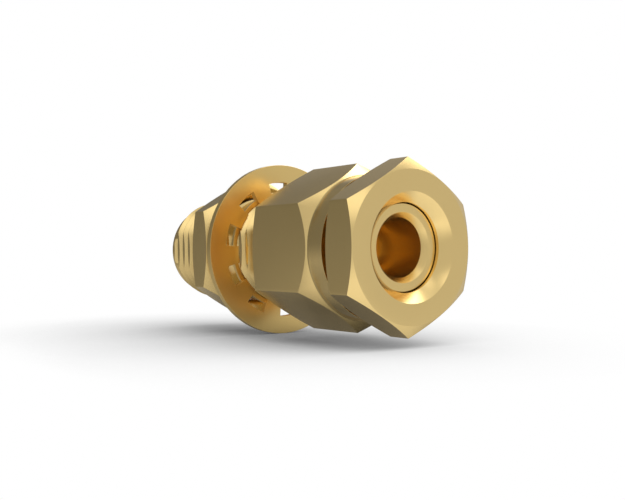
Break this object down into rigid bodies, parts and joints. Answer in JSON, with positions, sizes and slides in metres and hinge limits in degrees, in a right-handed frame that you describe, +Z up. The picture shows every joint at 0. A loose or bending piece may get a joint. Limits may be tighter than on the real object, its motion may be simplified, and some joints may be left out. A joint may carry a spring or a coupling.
{
  "type": "coaxial bulkhead cable jack",
  "caption": "Coaxial bulkhead cable jack: threaded tail with keying flat, panel nut, windowed lock washer, hexagon flange, clamp nut and solder ferrule.",
  "frame": {"origin": "centre of the hexagon flange's back face, which the panel seats on", "axes": "+X along the axis towards the cable, +Z up through a hexagon corner, and the keying flat faces -Y"},
  "size_m": [0.0205, 0.0102, 0.0102],
  "materials": {
    "gold_brass": "satin gold plating",
    "gold_washer": "satin gold plating",
    "contact_gold": "bright gold plating",
    "amber_plastic": "translucent amber support plastic"
  },
  "bodies": {
    "ferrule": {"cable_ferrule": "gold_brass"},
    "clamp": {"clamp_nut": "gold_brass"},
    "body": {"connector_body": "gold_brass", "support_bead": "amber_plastic", "line_bushing": "gold_brass", "cable_insulator": "amber_plastic", "centre_contact": "contact_gold"},
    "nut": {"panel_nut": "gold_brass"},
    "washer": {"lock_washer": "gold_washer"}
  },
  "joints": [
    {"name": "body_travel", "type": "slide", "parent": "ferrule", "child": "body", "axis": [-1, 0, 0], "range_m": [0, 0.00282]},
    {"name": "clamp_nut_turn", "type": "hinge", "parent": "ferrule", "child": "clamp", "pos_m": [0.0065, 0, 0], "axis": [1, 0, 0], "range_deg": [0, 1440]},
    {"name": "washer_travel", "type": "slide", "parent": "body", "child": "washer", "axis": [1, 0, 0], "range_m": [-0.0006, 0.00268]},
    {"name": "panel_nut_travel", "type": "slide", "parent": "body", "child": "nut", "axis": [1, 0, 0], "range_m": [-0.00423, 0.00141]}
  ],
  "couplings": [
    {"joint": "clamp_nut_turn", "follows": "body_travel", "rad_per_m": 8904.7}
  ]
}
